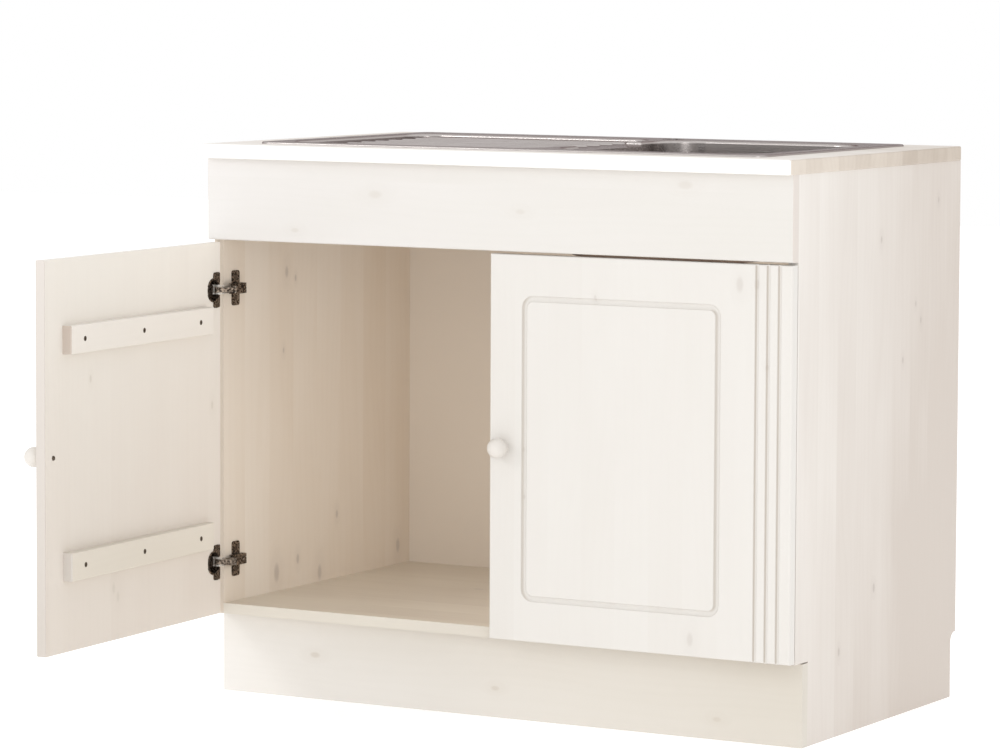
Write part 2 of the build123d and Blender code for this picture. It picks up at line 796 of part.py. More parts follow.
def door_panel(side):
    """One board with a milled ring, three flutes by the hinges and bores in the back."""
    near, far = ordered(side * door_free_x, side * outer_half_width)
    with BuildPart() as door:
        block((near, door_face_y, door_bottom), (far, door_back_y, door_top))
        face = door.faces().sort_by(Axis.Y)[0]
        fillet(face.edges(), front_edge_radius)
        # ring: a ball-nosed cutter carried round a rounded rectangle, its upper and lower half
        ring_free_x = side * (door_free_x + ring_margin_free)
        ring_hinge_x = side * (outer_half_width - ring_margin_hinge)
        cutter_y = door_face_y - ring_cutter_radius + ring_depth
        for end_z in (door_bottom + ring_margin_ends, door_top - ring_margin_ends):
            with BuildLine(Plane.XZ.offset(-cutter_y)) as half_ring:
                FilletPolyline(
                    (ring_free_x, door_middle_z), (ring_free_x, end_z),
                    (ring_hinge_x, end_z), (ring_hinge_x, door_middle_z),
                    radius=ring_corner_radius)
            with BuildSketch(Plane(origin=(ring_free_x, cutter_y, door_middle_z), z_dir=(0, 0, 1))):
                Circle(ring_cutter_radius)
            sweep(path=half_ring.wires()[0], mode=Mode.SUBTRACT)
        flute_y = door_face_y - flute_cutter_radius + flute_depth
        for n in range(flute_count):
            flute_x = side * (outer_half_width - flute_first_margin - n * flute_pitch)
            with Locations((flute_x, flute_y, door_middle_z)):
                Cylinder(flute_cutter_radius, door_top - door_bottom, mode=Mode.SUBTRACT)
        cup_x = side * (inner_half_width - cup_inward)
        with Locations([facing((cup_x, door_back_y, z), (0, 1, 0)) for z in hinge_heights]):
            Hole(cup_bore_radius, cup_bore_depth)
        cup_screw_x = side * (inner_half_width - cup_screw_inward)
        cup_screw_y = door_back_y + cup_flange_thickness
        with Locations([facing((cup_screw_x, cup_screw_y, z), (0, 1, 0)) for z in cup_screw_heights]):
            CounterSinkHole(
                screw_shank_radius + screw_hole_clearance,
                screw_head_radius + screw_hole_clearance,
                cup_screw_length,
                counter_sink_angle=screw_head_angle,
            )
        pilot = batten_screw_length - batten_thickness
        with Locations([facing((side * x, door_back_y, z), (0, 1, 0)) for x, z in batten_screw_places]):
            Hole(screw_shank_radius + screw_hole_clearance, pilot)
        with Locations(facing((side * knob_x, door_back_y, door_middle_z), (0, 1, 0))):
            Hole(screw_shank_radius + screw_hole_clearance, door_thickness)
    return door.part


def batten(side, base):
    """A strip across the inside of the door that keeps it flat, its four rear edges chamfered."""
    near, far = ordered(
        side * (batten_middle_x - batten_length / 2), side * (batten_middle_x + batten_length / 2))
    with BuildPart() as strip:
        block((near, door_back_y, base), (far, batten_rear_y, base + batten_height))
        rear_edges = strip.faces().sort_by(Axis.Y)[-1].edges()
        chamfer(rear_edges, batten_chamfer)
        spots = [(x, z) for x, z in batten_screw_places if base < z < base + batten_height]
        with Locations([facing((side * x, batten_rear_y, z), (0, 1, 0)) for x, z in spots]):
            CounterSinkHole(
                screw_shank_radius + screw_hole_clearance,
                screw_head_radius + screw_hole_clearance,
                counter_sink_angle=screw_head_angle,
            )
    return strip.part


def knob(side):
    """Turned ball on a neck and foot, standing on the door's face."""
    ball_radius = knob_diameter / 2
    ball_y = door_face_y - knob_projection + ball_radius
    root = (side * knob_x, door_face_y, door_middle_z)
    with BuildPart() as turned:
        with BuildSketch(Plane(root, x_dir=(1, 0, 0), z_dir=(0, 0, 1))):
            with BuildLine():
                Polyline(
                    (0, 0), (knob_foot_diameter / 2, 0), (knob_foot_diameter / 2, -knob_foot_height),
                    (knob_neck_diameter / 2, -knob_neck_height), (0, -knob_neck_height), close=True)
            make_face()
        revolve(axis=Axis(root, (0, 1, 0)))
        with Locations((side * knob_x, ball_y, door_middle_z)):
            Sphere(ball_radius)
        bite_low = (side * knob_x - ball_radius, door_face_y, door_middle_z - ball_radius)
        bite_high = (side * knob_x + ball_radius, door_back_y, door_middle_z + ball_radius)
        block(bite_low, bite_high, Mode.SUBTRACT)
        with Locations(facing(root, (0, 1, 0))):
            Hole(screw_shank_radius + screw_hole_clearance, knob_screw_length - door_thickness)
    return turned.part


def knob_screw(side):
    """Pan-head screw put in from the back of the door."""
    with BuildPart() as screw:
        with Locations(facing((side * knob_x, door_back_y, door_middle_z), (0, 1, 0))):
            Cylinder(
                knob_screw_head_radius, knob_screw_head_height,
                align=(Align.CENTER, Align.CENTER, Align.MIN))
            Cylinder(
                screw_shank_radius, knob_screw_length,
                align=(Align.CENTER, Align.CENTER, Align.MAX))
    return screw.part


for side, word in ((LEFT, "left"), (RIGHT, "right")):
    save(on_door(door_panel(side), side), "door_panel_" + word)
    save(on_door(batten(side, batten_bases[1]), side), "batten_upper_" + word)
    save(on_door(batten(side, batten_bases[0]), side), "batten_lower_" + word)
    save(on_door(knob(side), side), "knob_" + word)
    save(on_door(knob_screw(side), side), "knob_screw_" + word)
    with BuildPart() as batten_screws:
        with Locations([
            facing((side * x, batten_rear_y, z), (0, 1, 0)) for x, z in batten_screw_places
        ]):
            add(wood_screw(batten_screw_length))
    save(on_door(batten_screws.part, side), "batten_screws_" + word)

# ------------------------------------------------------------------ concealed hinges
# Each hinge is drawn looking along its pins: across is inward, up is forward.
arm_pin = (arm_pin_inward, arm_pin_forward)
cup_pin = (cup_pin_inward, cup_pin_forward)
nose_pin = (nose_inward, nose_forward)
inner_cup_pin = (inner_cup_pin_inward, inner_cup_pin_forward)
inner_link_crown = (inner_link_crown_inward, inner_link_crown_forward)
door_back_forward = side_front_y - door_back_y
cup_floor_forward = door_back_forward + cup_bore_depth - cup_bore_clearance
web_inward = plate_block_height


def hinge_plane(side, z, level=0.0):
    """Looks along the hinge pins, at a level above or below the middle of the hinge."""
    place = Plane(hinge_point(side, 0, 0, z), x_dir=(-side, 0, 0), z_dir=(0, 0, side))
    return place.offset(level)


def hinge_cup(side, z):
    """Pressed cup with a flange and ears, two lugs inside it carrying the cup pins."""
    mouth = Plane(
        hinge_point(side, cup_inward, door_back_forward, z), x_dir=(-side, 0, 0), z_dir=(0, -1, 0))
    ear_inward = cup_screw_inward - cup_inward
    cup_radius = cup_bore_radius - cup_bore_clearance
    can_depth = cup_bore_depth - cup_bore_clearance
    with BuildPart() as cup:
        with BuildSketch(mouth):
            Circle(cup_flange_radius)
            with Locations((ear_inward, 0)):
                RectangleRounded(cup_ear_width, cup_ear_height, cup_ear_corner_radius)
        extrude(amount=-cup_flange_thickness)
        with BuildSketch(mouth):
            Circle(cup_radius)
        extrude(amount=can_depth)
        with BuildSketch(mouth.offset(-cup_flange_thickness)):
            Circle(cup_radius - cup_wall)
        extrude(amount=cup_flange_thickness + can_depth - cup_wall, mode=Mode.SUBTRACT)
        # the links leave through a notch in the flange and a window in the wall,
        # and the arm's cheeks come in through a notch on the other side
        link_side = cup_notch_inward - cup_inward
        arm_side = cup_arm_notch_inward - cup_inward
        for depth, half, base, start, edge in (
            (cup_flange_thickness, cup_notch_half_width, -cup_flange_thickness, link_side, Align.MAX),
            (can_depth - cup_wall, cup_window_half_width, 0, link_side, Align.MAX),
            (cup_arm_notch_depth, cup_arm_notch_half_width, -cup_flange_thickness, arm_side, Align.MIN),
        ):
            with BuildSketch(mouth.offset(base)):
                with Locations((start, 0)):
                    Rectangle(cup_bore_radius, 2 * half, align=(edge, Align.CENTER))
            extrude(amount=depth, mode=Mode.SUBTRACT)
        for way in (-1, 1):
            with BuildSketch(hinge_plane(side, z, way * cup_lug_inner)):
                with Locations(cup_pin):
                    Circle(cup_lug_half_width)
                    Rectangle(
                        2 * cup_lug_half_width, cup_floor_forward - cup_pin_forward,
                        align=(Align.CENTER, Align.MIN))
                with Locations(inner_cup_pin):
                    Circle(lug_hole_radius + cup_wall)
                    Circle(lug_hole_radius, mode=Mode.SUBTRACT)
                with Locations(cup_pin):
                    Circle(hinge_pin_radius, mode=Mode.SUBTRACT)
            extrude(amount=way * cup_lug_thickness)
        with Locations([
            mouth.offset(-cup_flange_thickness).location * Location((ear_inward, step, 0), (180, 0, 0))
            for step in (-cup_screw_spacing / 2, cup_screw_spacing / 2)
        ]):
            CounterSinkHole(
                screw_shank_radius + screw_hole_clearance,
                screw_head_radius + screw_hole_clearance,
                cup_flange_thickness,
                counter_sink_angle=screw_head_angle,
            )
    return cup.part


def hinge_arm(side, z):
    """Channel over the mounting plate, with two cheeks in front that carry the arm and nose pins."""
    with BuildPart() as arm:
        with BuildSketch(hinge_plane(side, z, -arm_half_width)):
            with Locations((web_inward, -arm_rear)):
                Rectangle(arm_wall, arm_rear - arm_body_front, align=(Align.MIN, Align.MIN))
        extrude(amount=2 * arm_half_width)
        for way in (-1, 1):
            with BuildSketch(hinge_plane(side, z, way * (arm_half_width - arm_wall))):
                with Locations((arm_foot, -arm_rear)):
                    Rectangle(
                        web_inward + arm_wall - arm_foot, arm_rear - arm_body_front,
                        align=(Align.MIN, Align.MIN))
            extrude(amount=way * arm_wall)
            with BuildSketch(hinge_plane(side, z, way * nose_cheek_inner)):
                with Locations(arm_pin, nose_pin):
                    Circle(nose_eye_radius)
                with BuildLine():
                    Polyline(
                        (web_inward, -nose_root), (web_inward + arm_wall, -nose_root), arm_pin,
                        nose_pin, (web_inward, -arm_body_front), close=True)
                make_face()
                make_hull()
                with Locations(arm_pin, nose_pin):
                    Circle(hinge_pin_radius, mode=Mode.SUBTRACT)
            extrude(amount=way * nose_cheek_thickness)
        # open slot at the rear for the clamping screw
        slot_plane = Plane(
            hinge_point(side, web_inward, 0, z), x_dir=(0, -1, 0), z_dir=(-side, 0, 0))
        with BuildSketch(slot_plane):
            with Locations((-arm_screw_setback, 0)):
                Circle(arm_slot_width / 2)
                Rectangle(arm_rear - arm_screw_setback, arm_slot_width, align=(Align.MAX, Align.CENTER))
        extrude(amount=arm_wall, mode=Mode.SUBTRACT)
    return arm.part


def hinge_plate(side, z):
    """Winged plate on the side panel with a raised block that takes the arm."""
    with BuildPart() as plate:
        foot = Plane(hinge_point(side, 0, -plate_setback, z), x_dir=(0, 1, 0), z_dir=(-side, 0, 0))
        with BuildSketch(foot):
            RectangleRounded(plate_wing_width, plate_wing_height, plate_wing_corner_radius)
        extrude(amount=plate_wing_thickness)
        block_y = ordered(side_front_y + plate_block_front, side_front_y + plate_block_rear)
        block_x = ordered(side * inner_half_width, side * (inner_half_width - plate_block_height))
        block(
            (block_x[0], block_y[0], z - plate_block_half_width),
            (block_x[1], block_y[1], z + plate_block_half_width))
        with Locations([
            facing(hinge_point(side, plate_wing_thickness, -plate_setback, z + step), (-side, 0, 0))
            for step in (-plate_screw_spacing / 2, plate_screw_spacing / 2)
        ]):
            CounterSinkHole(
                screw_shank_radius + screw_hole_clearance,
                screw_head_radius + screw_hole_clearance,
                plate_wing_thickness,
                counter_sink_angle=screw_head_angle,
            )
        block_top = hinge_point(side, plate_block_height, -arm_screw_setback, z)
        with Locations(facing(block_top, (-side, 0, 0))):
            Hole(arm_screw_radius, plate_block_height - plate_wing_thickness)
    return plate.part


def outer_links(side):
    """The carrying links of both hinges on a door, one solid bar each."""
    bar = Vector(*cup_pin) - Vector(*arm_pin)
    slope = degrees(atan2(bar.Y, bar.X))
    with BuildPart() as links:
        for z in hinge_heights:
            with BuildSketch(hinge_plane(side, z)):
                with Locations(arm_pin, cup_pin):
                    Circle(link_eye_radius)
                with Locations(Location((*arm_pin, 0), (0, 0, slope))):
                    with Locations((0, link_offset)):
                        Rectangle(bar.length, link_thickness, align=(Align.MIN, Align.MAX))
                with Locations(arm_pin, cup_pin):
                    Circle(hinge_pin_radius + pin_clearance, mode=Mode.SUBTRACT)
            extrude(amount=link_half_width, both=True)
    return links.part


def inner_links(side):
    """A pair of thin arched links at each hinge that set the angle of the cup."""
    with BuildPart() as links:
        for z in hinge_heights:
            for way in (-1, 1):
                with BuildSketch(hinge_plane(side, z, way * inner_link_near)):
                    with BuildLine():
                        bow = ThreePointArc(nose_pin, inner_link_crown, inner_cup_pin)
                    SlotArc(bow, inner_link_width)
                    with Locations(nose_pin, inner_cup_pin):
                        Circle(inner_link_eye_radius)
                    with Locations(nose_pin):
                        Circle(hinge_pin_radius + pin_clearance, mode=Mode.SUBTRACT)
                    with Locations(inner_cup_pin):
                        Circle(hinge_pin_radius, mode=Mode.SUBTRACT)
                extrude(amount=way * inner_link_thickness)
    return links.part


def rods(sides, pin, near, far):
    """Round pins above and below the middle of each hinge, or right through it when near is 0."""
    with BuildPart() as bars:
        for side in sides:
            for z in hinge_heights:
                for way in (-1, 1):
                    with BuildSketch(hinge_plane(side, z, way * near)):
                        with Locations(pin):
                            Circle(hinge_pin_radius)
                    extrude(amount=way * (far - near))
    return bars.part


stub_end = inner_link_near + inner_link_thickness + pin_end
arm_pins = rods([LEFT, RIGHT], arm_pin, 0, nose_cheek_inner + nose_cheek_thickness)
nose_pins = rods([LEFT, RIGHT], nose_pin, nose_cheek_inner, stub_end)
save(Compound(children=arm_pins.solids() + nose_pins.solids()), "hinge_arm_pins")

for side, word in ((LEFT, "left"), (RIGHT, "right")):
    for z, height_word in ((upper_hinge_z, "upper"), (lower_hinge_z, "lower")):
        spot = height_word + "_" + word
        save(on_door(hinge_cup(side, z), side), "hinge_cup_" + spot)
        save(hinge_arm(side, z), "hinge_arm_" + spot)
        save(hinge_plate(side, z), "hinge_plate_" + spot)
    save(on_outer_link(outer_links(side), side), "hinge_outer_links_" + word)
    save(on_inner_link(inner_links(side), side), "hinge_inner_links_" + word)
    cup_pins = rods([side], cup_pin, 0, cup_lug_inner + cup_lug_thickness)
    save(on_door(cup_pins, side), "hinge_cup_pins_" + word)
    link_pins = rods([side], inner_cup_pin, cup_lug_inner - pin_end, stub_end)
    save(on_inner_link(link_pins, side), "hinge_link_pins_" + word)
    ear_forward = door_back_forward - cup_flange_thickness
    with BuildPart() as cup_screws:
        with Locations([
            facing(hinge_point(side, cup_screw_inward, ear_forward, z), (0, 1, 0))
            for z in cup_screw_heights
        ]):
            add(wood_screw(cup_screw_length))
    save(on_door(cup_screws.part, side), "hinge_cup_screws_" + word)

with BuildPart() as plate_screws:
    for side in (LEFT, RIGHT):
        with Locations([
            facing((side * (inner_half_width - plate_wing_thickness), y, z), (-side, 0, 0))
            for y, z in plate_screw_spots
        ]):
            add(wood_screw(hinge_screw_length))
save(plate_screws.part, "hinge_plate_screws")

with BuildPart() as arm_screws:
    for side in (LEFT, RIGHT):
        for z in hinge_heights:
            with Locations(facing(
                hinge_point(side, web_inward + arm_wall, -arm_screw_setback, z), (-side, 0, 0)
            )):
                Cylinder(
                    arm_screw_head_radius, arm_screw_head_height,
                    align=(Align.CENTER, Align.CENTER, Align.MIN))
                Cylinder(
                    arm_screw_radius, arm_screw_length,
                    align=(Align.CENTER, Align.CENTER, Align.MAX))
save(arm_screws.part, "hinge_arm_screws")
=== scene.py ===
import bpy
import math
from mathutils import Matrix, Vector


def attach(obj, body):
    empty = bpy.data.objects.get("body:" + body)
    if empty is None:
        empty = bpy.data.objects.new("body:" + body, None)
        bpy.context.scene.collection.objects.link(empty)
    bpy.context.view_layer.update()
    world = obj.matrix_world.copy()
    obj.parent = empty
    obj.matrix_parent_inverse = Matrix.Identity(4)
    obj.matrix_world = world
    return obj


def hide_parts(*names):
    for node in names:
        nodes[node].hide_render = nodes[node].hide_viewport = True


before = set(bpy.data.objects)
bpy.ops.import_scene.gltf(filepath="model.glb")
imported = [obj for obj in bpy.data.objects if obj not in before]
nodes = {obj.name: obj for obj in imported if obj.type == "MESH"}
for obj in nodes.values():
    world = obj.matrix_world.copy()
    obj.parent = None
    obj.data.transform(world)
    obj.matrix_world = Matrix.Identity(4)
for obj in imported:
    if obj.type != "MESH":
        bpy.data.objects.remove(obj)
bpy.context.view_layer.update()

# ---------------------------------------------------------------- camera
# Eye height a little above the worktop, well to the right of the cabinet,
# through a long lens turned to the left and slightly down.
eye = Vector((3.1887, -5.5918, 1.1155))
turn_left, tilt_down, roll = 0.5191, 0.0757, 0.0042
camera_data = bpy.data.cameras.new("camera")
camera_data.sensor_width = 36
camera_data.lens = 156.42
camera_data.shift_y = -0.075
camera = bpy.data.objects.new("camera", camera_data)
bpy.context.collection.objects.link(camera)
camera.matrix_world = (
    Matrix.Translation(eye)
    @ Matrix.Rotation(turn_left, 4, "Z")
    @ Matrix.Rotation(math.pi / 2 - tilt_down, 4, "X")
    @ Matrix.Rotation(roll, 4, "Z")
)
bpy.context.scene.camera = camera
bpy.context.scene.view_settings.view_transform = "Standard"

# ---------------------------------------------------------------- studio
# A white sweep of floor under an even white surround, a soft light from the upper left
# front, a wide one from the right and a small one standing inside the right half.
floor_reach = 12
floor_mesh = bpy.data.meshes.new("studio_floor")
floor_corners = [(-floor_reach, -floor_reach, 0), (floor_reach, -floor_reach, 0),
                 (floor_reach, floor_reach, 0), (-floor_reach, floor_reach, 0)]
floor_mesh.from_pydata(floor_corners, [], [(0, 1, 2, 3)])
floor = bpy.data.objects.new("studio_floor", floor_mesh)
bpy.context.collection.objects.link(floor)
floor_paint = bpy.data.materials.new("studio_floor_paint")
floor_paint.use_nodes = True
floor_shader = floor_paint.node_tree.nodes["Principled BSDF"]
floor_shader.inputs["Base Color"].default_value = (0.93, 0.93, 0.93, 1)
floor_shader.inputs["Roughness"].default_value = 0.9
floor_shader.inputs["Emission Color"].default_value = (1, 1, 1, 1)
floor_shader.inputs["Emission Strength"].default_value = 0.3
floor_mesh.materials.append(floor_paint)

surround = bpy.data.worlds.new("surround")
surround.use_nodes = True
white_light = surround.node_tree.nodes["Background"]
white_light.inputs["Color"].default_value = (1.0, 1.0, 1.0, 1)
white_light.inputs["Strength"].default_value = 1.0
bpy.context.scene.world = surround


def soft_light(name, place, aim, size, watts):
    """A square soft box that faces a point."""
    data = bpy.data.lights.new(name, "AREA")
    data.size, data.energy = size, watts
    lamp = bpy.data.objects.new(name, data)
    bpy.context.collection.objects.link(lamp)
    lamp.location = place
    lamp.rotation_euler = (Vector(aim) - Vector(place)).to_track_quat("-Z", "Y").to_euler()
    lamp.visible_camera = False


soft_light("key_light", place=(-2.95, -3.55, 2.6), aim=(0, 0.1, 0.5), size=1.1, watts=26)
soft_light("fill_light", place=(3.6, -4.6, 1.0), aim=(-0.3, 0.3, 0.4), size=2.4, watts=46)
soft_light("inside_light", place=(0.33, 0.15, 0.42), aim=(-0.48, 0.27, 0.40), size=0.3, watts=1.9)


# ---------------------------------------------------------------- side panels
# Solid pine boards glued up from staves, whitened with a thin glaze that lets the
# grain and the knots show through. The inner faces get a darker, yellower tone: painted
# shade and bounce light of the inside of the cabinet.
def put(tree, kind, *values, out=0, **settings):
    """Adds a node, sets or joins its inputs in their order, and gives one output back."""
    node = tree.nodes.new(kind)
    for key, value in settings.items():
        setattr(node, key, value)
    for socket, value in zip(node.inputs, values):
        if isinstance(value, bpy.types.NodeSocket):
            tree.links.new(value, socket)
        elif value is not None:
            socket.default_value = value
    return node.outputs[out]


def sums(tree, kind, a, b=None, c=None):
    """One sum, product or comparison of numbers."""
    return put(tree, "ShaderNodeMath", a, b, c, operation=kind)


def noise(tree, place, scale, detail):
    """Soft spots between 0 and 1, so many of them in a metre."""
    return put(tree, "ShaderNodeTexNoise", place, None, scale, detail)


def ramp(tree, value, low, high):
    """Goes softly from 0 at the first limit to 1 at the second."""
    return put(tree, "ShaderNodeMapRange", value, low, high, interpolation_type="SMOOTHSTEP")


def blend(tree, share, first, second):
    """Colour that goes from the first to the second as the share goes from 0 to 1."""
    node = tree.nodes.new("ShaderNodeMix")
    node.data_type = "RGBA"
    for name, value in (("Factor", share), ("A", first), ("B", second)):
        sockets = [s for s in node.inputs if s.name == name and s.enabled]
        if isinstance(value, bpy.types.NodeSocket):
            tree.links.new(value, sockets[0])
        else:
            sockets[0].default_value = (*value, 1) if name != "Factor" else value
    return [s for s in node.outputs if s.enabled][0]


def fresh_material(name):
    material = bpy.data.materials.new(name)
    material.use_nodes = True
    return material, material.node_tree, material.node_tree.nodes["Principled BSDF"]


def vary_gloss(tree, shader, wander, middle, spread):
    """Lets the roughness wander about its middle, by the spread in all."""
    roughness = sums(tree, "MULTIPLY_ADD", wander, spread, middle - spread / 2)
    tree.links.new(roughness, shader.inputs["Roughness"])


def emboss(tree, shader, height, strength, distance):
    """Raises the surface a little by a reading."""
    relief = tree.nodes.new("ShaderNodeBump")
    relief.inputs["Strength"].default_value = strength
    relief.inputs["Distance"].default_value = distance
    tree.links.new(height, relief.inputs["Height"])
    tree.links.new(relief.outputs["Normal"], shader.inputs["Normal"])


def glazed_pine(name, along, across, tones, stave, start, contrast,
                knots=(), knot_tone=(0.50, 0.43, 0.37), zones=(), painted_shade_slope=(0, 0, 0, 0),
                swing=None, shaded_groove_wall=0, groove_shade_tone=None):
    """Whitened pine: grain along one axis, staves side by side along another.

    Tones are a pale and a deep colour. Staves have a width, and a start that slides their
    joints. A knot is its place along and across, and its size. A zone is an axis, a side of
    a limit on it, and the tones that the wood has there. A painted shade slope deepens the
    tone evenly, as painted light and shade that fall off over the piece: per metre along and
    across, each with its middle. A swing is how far a door stands open; all places are then
    those of the shut door.
    """
    material, tree, shader = fresh_material(name)
    place = put(tree, "ShaderNodeTexCoord", out="Object")
    if swing is not None:
        shut = swing.inverted()
        place = put(tree, "ShaderNodeMapping", place, shut.to_translation(), shut.to_euler())
    split = tree.nodes.new("ShaderNodeSeparateXYZ")
    tree.links.new(place, split.inputs[0])
    rest = [axis for axis in "XYZ" if axis not in (along, across)][0]
    length, width, depth = (split.outputs[axis] for axis in (along, across, rest))

    # each stave has its own number, which shifts its grain and its tone
    strip = sums(tree, "FLOOR", sums(tree, "DIVIDE", sums(tree, "ADD", width, start), stave))
    chance = put(tree, "ShaderNodeTexWhiteNoise", None, strip, noise_dimensions="1D")
    most_shift = 5.0
    slid = sums(tree, "MULTIPLY_ADD", chance, most_shift, length)

    def grain(per_metre_along, per_metre_across):
        stretched = [sums(tree, "MULTIPLY", reading, scale) for reading, scale in (
            (slid, per_metre_along), (width, per_metre_across), (depth, per_metre_across))]
        return noise(tree, put(tree, "ShaderNodeCombineXYZ", *stretched), 1.0, 2)

    bend, cloud, fibre = grain(1.3, 8), grain(2.4, 9), grain(14, 430)

    # knots sit at chosen places, longer along the grain, and push the growth lines aside
    knot_stretch, knot_rag = 2.0, 0.9
    core, halo = 0.0, 0.0
    for knot_length, knot_width, size in knots:
        off = put(
            tree, "ShaderNodeCombineXYZ",
            sums(tree, "DIVIDE", sums(tree, "SUBTRACT", length, knot_length), knot_stretch * size),
            sums(tree, "DIVIDE", sums(tree, "SUBTRACT", width, knot_width), size))
        far = put(tree, "ShaderNodeVectorMath", off, operation="LENGTH", out="Value")
        rag = sums(tree, "MULTIPLY_ADD", cloud, knot_rag, -knot_rag / 2)
        ragged = sums(tree, "ADD", far, rag)
        core = sums(tree, "MAXIMUM", ramp(tree, ragged, 1.0, 0.35), core)
        halo = sums(tree, "MAXIMUM", ramp(tree, ragged, 3.0, 1.05), halo)

    # growth lines: bands bent by the slow noise and round the knots
    lines_per_metre, sway, knot_sway, line_sharpness = 62, 7.0, 1.6, 2.2
    phase = sums(tree, "MULTIPLY_ADD", bend, sway, sums(tree, "MULTIPLY", width, lines_per_metre))
    if knots:
        phase = sums(tree, "MULTIPLY_ADD", halo, knot_sway, phase)
    swell = sums(tree, "SINE", sums(tree, "MULTIPLY", phase, math.tau))
    late = sums(tree, "POWER", sums(tree, "MULTIPLY_ADD", swell, 0.5, 0.5), line_sharpness)

    # the tone runs from pale at 0 to deep at 1, and lies at one half where nothing changes it
    stave_share, cloud_share, late_share, fibre_share = 0.25, 1.3, 0.08, 0.13
    average_sum = 0.87
    start_shade = 0.5 - average_sum * contrast
    shade = sums(tree, "MULTIPLY_ADD", chance, stave_share * contrast, start_shade)
    for part, share in ((cloud, cloud_share), (late, late_share), (fibre, fibre_share)):
        shade = sums(tree, "MULTIPLY_ADD", part, share * contrast, shade)
    # painted light and shade: the tone deepens evenly along and across the piece
    for reading, slope, middle in ((length, *painted_shade_slope[:2]), (width, *painted_shade_slope[2:])):
        if slope:
            below = sums(tree, "SUBTRACT", shade, slope * middle)
            shade = sums(tree, "MULTIPLY_ADD", reading, slope, below)
    shade = sums(tree, "MINIMUM", sums(tree, "MAXIMUM", shade, 0.0), 1.0)
    tone = blend(tree, shade, *tones)
    for axis, side_of, limit, zone_tones in zones:
        reading = split.outputs[axis[-1]]
        if axis[0] == "|":
            reading = sums(tree, "ABSOLUTE", reading)
        there = sums(tree, side_of, reading, limit)
        tone = blend(tree, there, tone, blend(tree, shade, *zone_tones))
    if knots:
        halo_stain, core_stain = 0.10, 0.55
        stained = blend(tree, sums(tree, "MULTIPLY", halo, halo_stain), tone, knot_tone)
        tone = blend(tree, sums(tree, "MULTIPLY", core, core_stain), stained, knot_tone)

    # painted shade in the grooves of a door face: a little over the whole groove, most on the wall
    # turned away from the key light
    if shaded_groove_wall:
        lit_wall_shading, shaded_wall_shading, ring_share, flute_share = 0.08, 1.0, 0.5, 0.75
        face_y, deepest, flutes_from_x = -0.043, 0.008, 0.43
        middle_x, reach_x = 0.24925, 0.2465
        middle_z, reach_z = 0.4125, 0.2855
        side_x = sums(tree, "ABSOLUTE", split.outputs["X"])
        sunk = sums(tree, "SUBTRACT", split.outputs["Y"], face_y)
        facing = put(tree, "ShaderNodeTexCoord", out="Normal")
        if swing is not None:
            facing = put(
                tree, "ShaderNodeMapping", facing, None, shut.to_euler(), vector_type="VECTOR")
        lean = sums(tree, "MULTIPLY", put(tree, "ShaderNodeSeparateXYZ", facing), shaded_groove_wall)
        share = sums(tree, "MULTIPLY_ADD", ramp(tree, lean, -0.05, 0.6), shaded_wall_shading - lit_wall_shading, lit_wall_shading)
        in_flute = sums(tree, "GREATER_THAN", side_x, flutes_from_x)
        for gate in (ramp(tree, sunk, 0.0002, 0.0018),
                     sums(tree, "LESS_THAN", sunk, deepest),
                     sums(tree, "COMPARE", side_x, middle_x, reach_x),
                     sums(tree, "COMPARE", split.outputs["Z"], middle_z, reach_z),
                     sums(tree, "MULTIPLY_ADD", in_flute, flute_share - ring_share, ring_share)):
            share = sums(tree, "MULTIPLY", share, gate)
        tone = blend(tree, share, tone, groove_shade_tone)
    tree.links.new(tone, shader.inputs["Base Color"])

    vary_gloss(tree, shader, fibre, middle=0.42, spread=0.16)
    grain_height = sums(tree, "MULTIPLY_ADD", late, 0.6, fibre)
    emboss(tree, shader, grain_height, strength=0.15, distance=0.0005)
    return material


def finish_with(material, *names):
    """Gives CAD pieces one finish."""
    for name in names:
        nodes[name].data.materials.clear()
        nodes[name].data.materials.append(material)


inner_face_x, side_front_y = 0.481, -0.025
inner_faces_from_x, front_edges_to_y = inner_face_x + 0.0003, side_front_y + 0.0005
outer_glaze = ((0.75, 0.71, 0.665), (0.57, 0.505, 0.45))
# inner faces: painted shade and bounce light of the inside, darker and yellower than outside
inner_painted_shade = ((0.71, 0.645, 0.565), (0.60, 0.495, 0.385))
finish_with(
    glazed_pine(
        "right_side_pine", "Z", "Y", outer_glaze, stave=0.064, start=0.02, contrast=0.55,
        knots=((0.721, 0.256, 0.0045), (0.771, 0.461, 0.004), (0.618, 0.381, 0.003),
               (0.592, 0.400, 0.004), (0.536, 0.336, 0.0035), (0.204, 0.241, 0.0045),
               (0.124, 0.122, 0.004)),
        knot_tone=(0.40, 0.34, 0.30),
        zones=[("X", "LESS_THAN", inner_faces_from_x, inner_painted_shade)],
        # painted shade: darker towards the bottom and towards the back
        painted_shade_slope=(-0.58, 0.75, 1.38, 0.25)),
    "side_panel_right")
finish_with(
    glazed_pine(
        "left_side_pine", "Z", "Y", outer_glaze, stave=0.07, start=0.035, contrast=0.55,
        knots=((0.642, 0.155, 0.007), (0.631, 0.181, 0.0035), (0.184, 0.188, 0.005),
               (0.169, 0.126, 0.010), (0.155, 0.253, 0.009), (0.243, 0.305, 0.005),
               (0.519, 0.146, 0.004), (0.171, 0.495, 0.008)),
        knot_tone=(0.36, 0.30, 0.26),
        # the inner faces and the front edge take the inner painted shade tones
        zones=[("X", "GREATER_THAN", -inner_faces_from_x, inner_painted_shade),
               ("Y", "LESS_THAN", front_edges_to_y, inner_painted_shade)],
        # painted shade: darker towards the back of the cabinet
        painted_shade_slope=(0, 0, 0.9, 0.24)),
    "side_panel_left")
